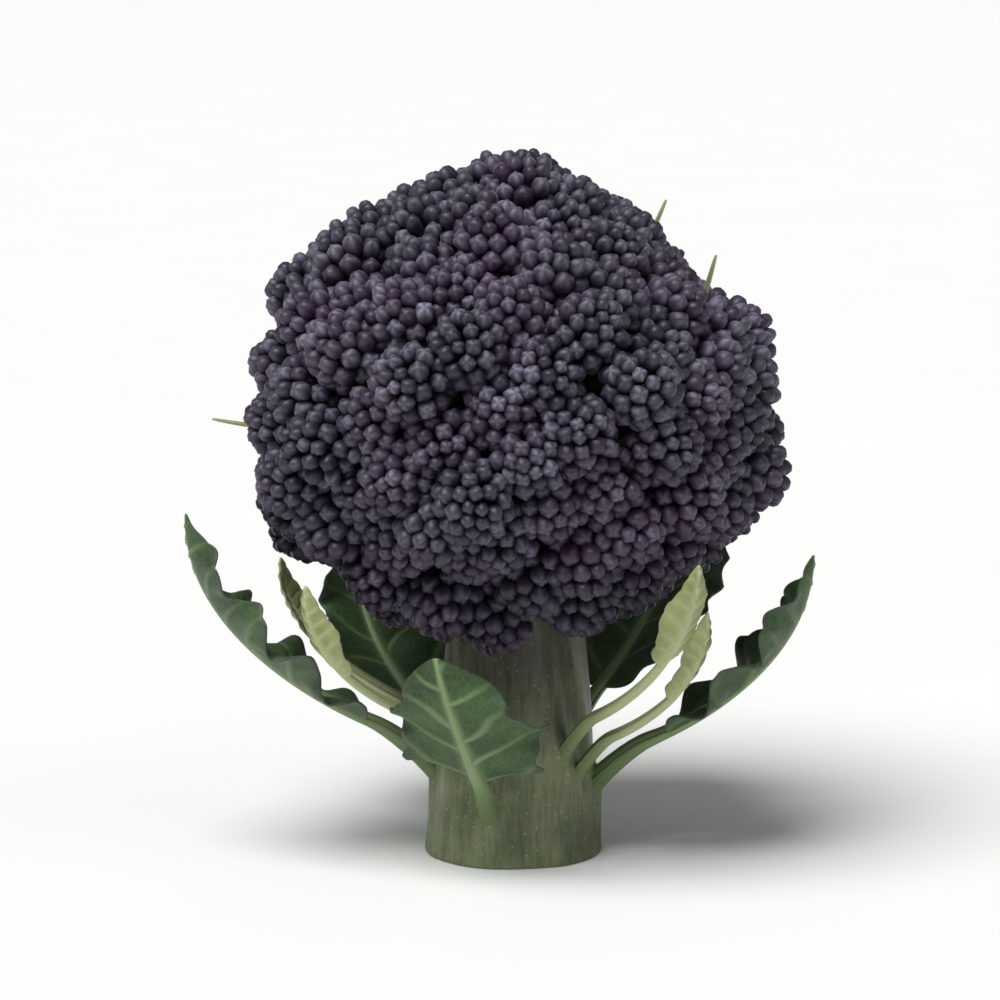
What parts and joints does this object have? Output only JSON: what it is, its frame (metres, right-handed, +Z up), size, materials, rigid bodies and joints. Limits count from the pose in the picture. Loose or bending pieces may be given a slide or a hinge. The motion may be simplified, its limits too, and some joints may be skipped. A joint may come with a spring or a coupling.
{
  "type": "broccoli head",
  "caption": "Purple broccoli head that stands on its cut stalk: a round dome of flower buds on branches, with small leaves and pale bracts below.",
  "frame": {"origin": "middle of the head's footprint, level with the flat cut face that the head stands on", "axes": "+Z up along the stalk towards the crown of buds, -Y to the front of the head, +X to its right"},
  "size_m": [0.1094, 0.097, 0.1252],
  "materials": {
    "stalk": "pale green stalk skin with a waxy, satin surface and a faint purple tinge; the cut end is paler and matt",
    "branch": "green branch skin tinged with purple, waxy and satin",
    "buds": null,
    "leaf": "dark green leaf with paler midrib and veins, thin and satin",
    "bract": "young yellow-green bract, thin and satin"
  },
  "bodies": {
    "root": {"stalk": "stalk", "branch_01": "branch", "branch_02": "branch", "branch_03": "branch", "branch_04": "branch", "branch_05": "branch", "branch_06": "branch", "branch_07": "branch", "branch_08": "branch", "branch_09": "branch", "branch_10": "branch", "branch_11": "branch", "branch_12": "branch", "branch_13": "branch", "branch_14": "branch", "branch_15": "branch", "branch_16": "branch", "branch_17": "branch", "branch_18": "branch", "branch_19": "branch", "branch_20": "branch", "crown_00": "buds", "crown_01": "buds", "crown_02": "buds", "crown_03": "buds", "crown_04": "buds", "crown_05": "buds", "crown_06": "buds", "crown_07": "buds", "crown_08": "buds", "crown_09": "buds", "crown_10": "buds", "crown_11": "buds", "crown_12": "buds", "crown_13": "buds", "crown_14": "buds", "crown_15": "buds", "crown_16": "buds", "crown_17": "buds", "crown_18": "buds", "crown_19": "buds", "crown_20": "buds", "leaf_left": "leaf", "leaf_front": "leaf", "leaf_right": "leaf", "leaf_back_right": "leaf", "leaf_back_left": "leaf", "bract_front_right": "bract", "bract_right": "bract", "bract_front_left": "bract", "bract_back": "bract", "bract_left": "bract"}
  },
  "joints": []
}
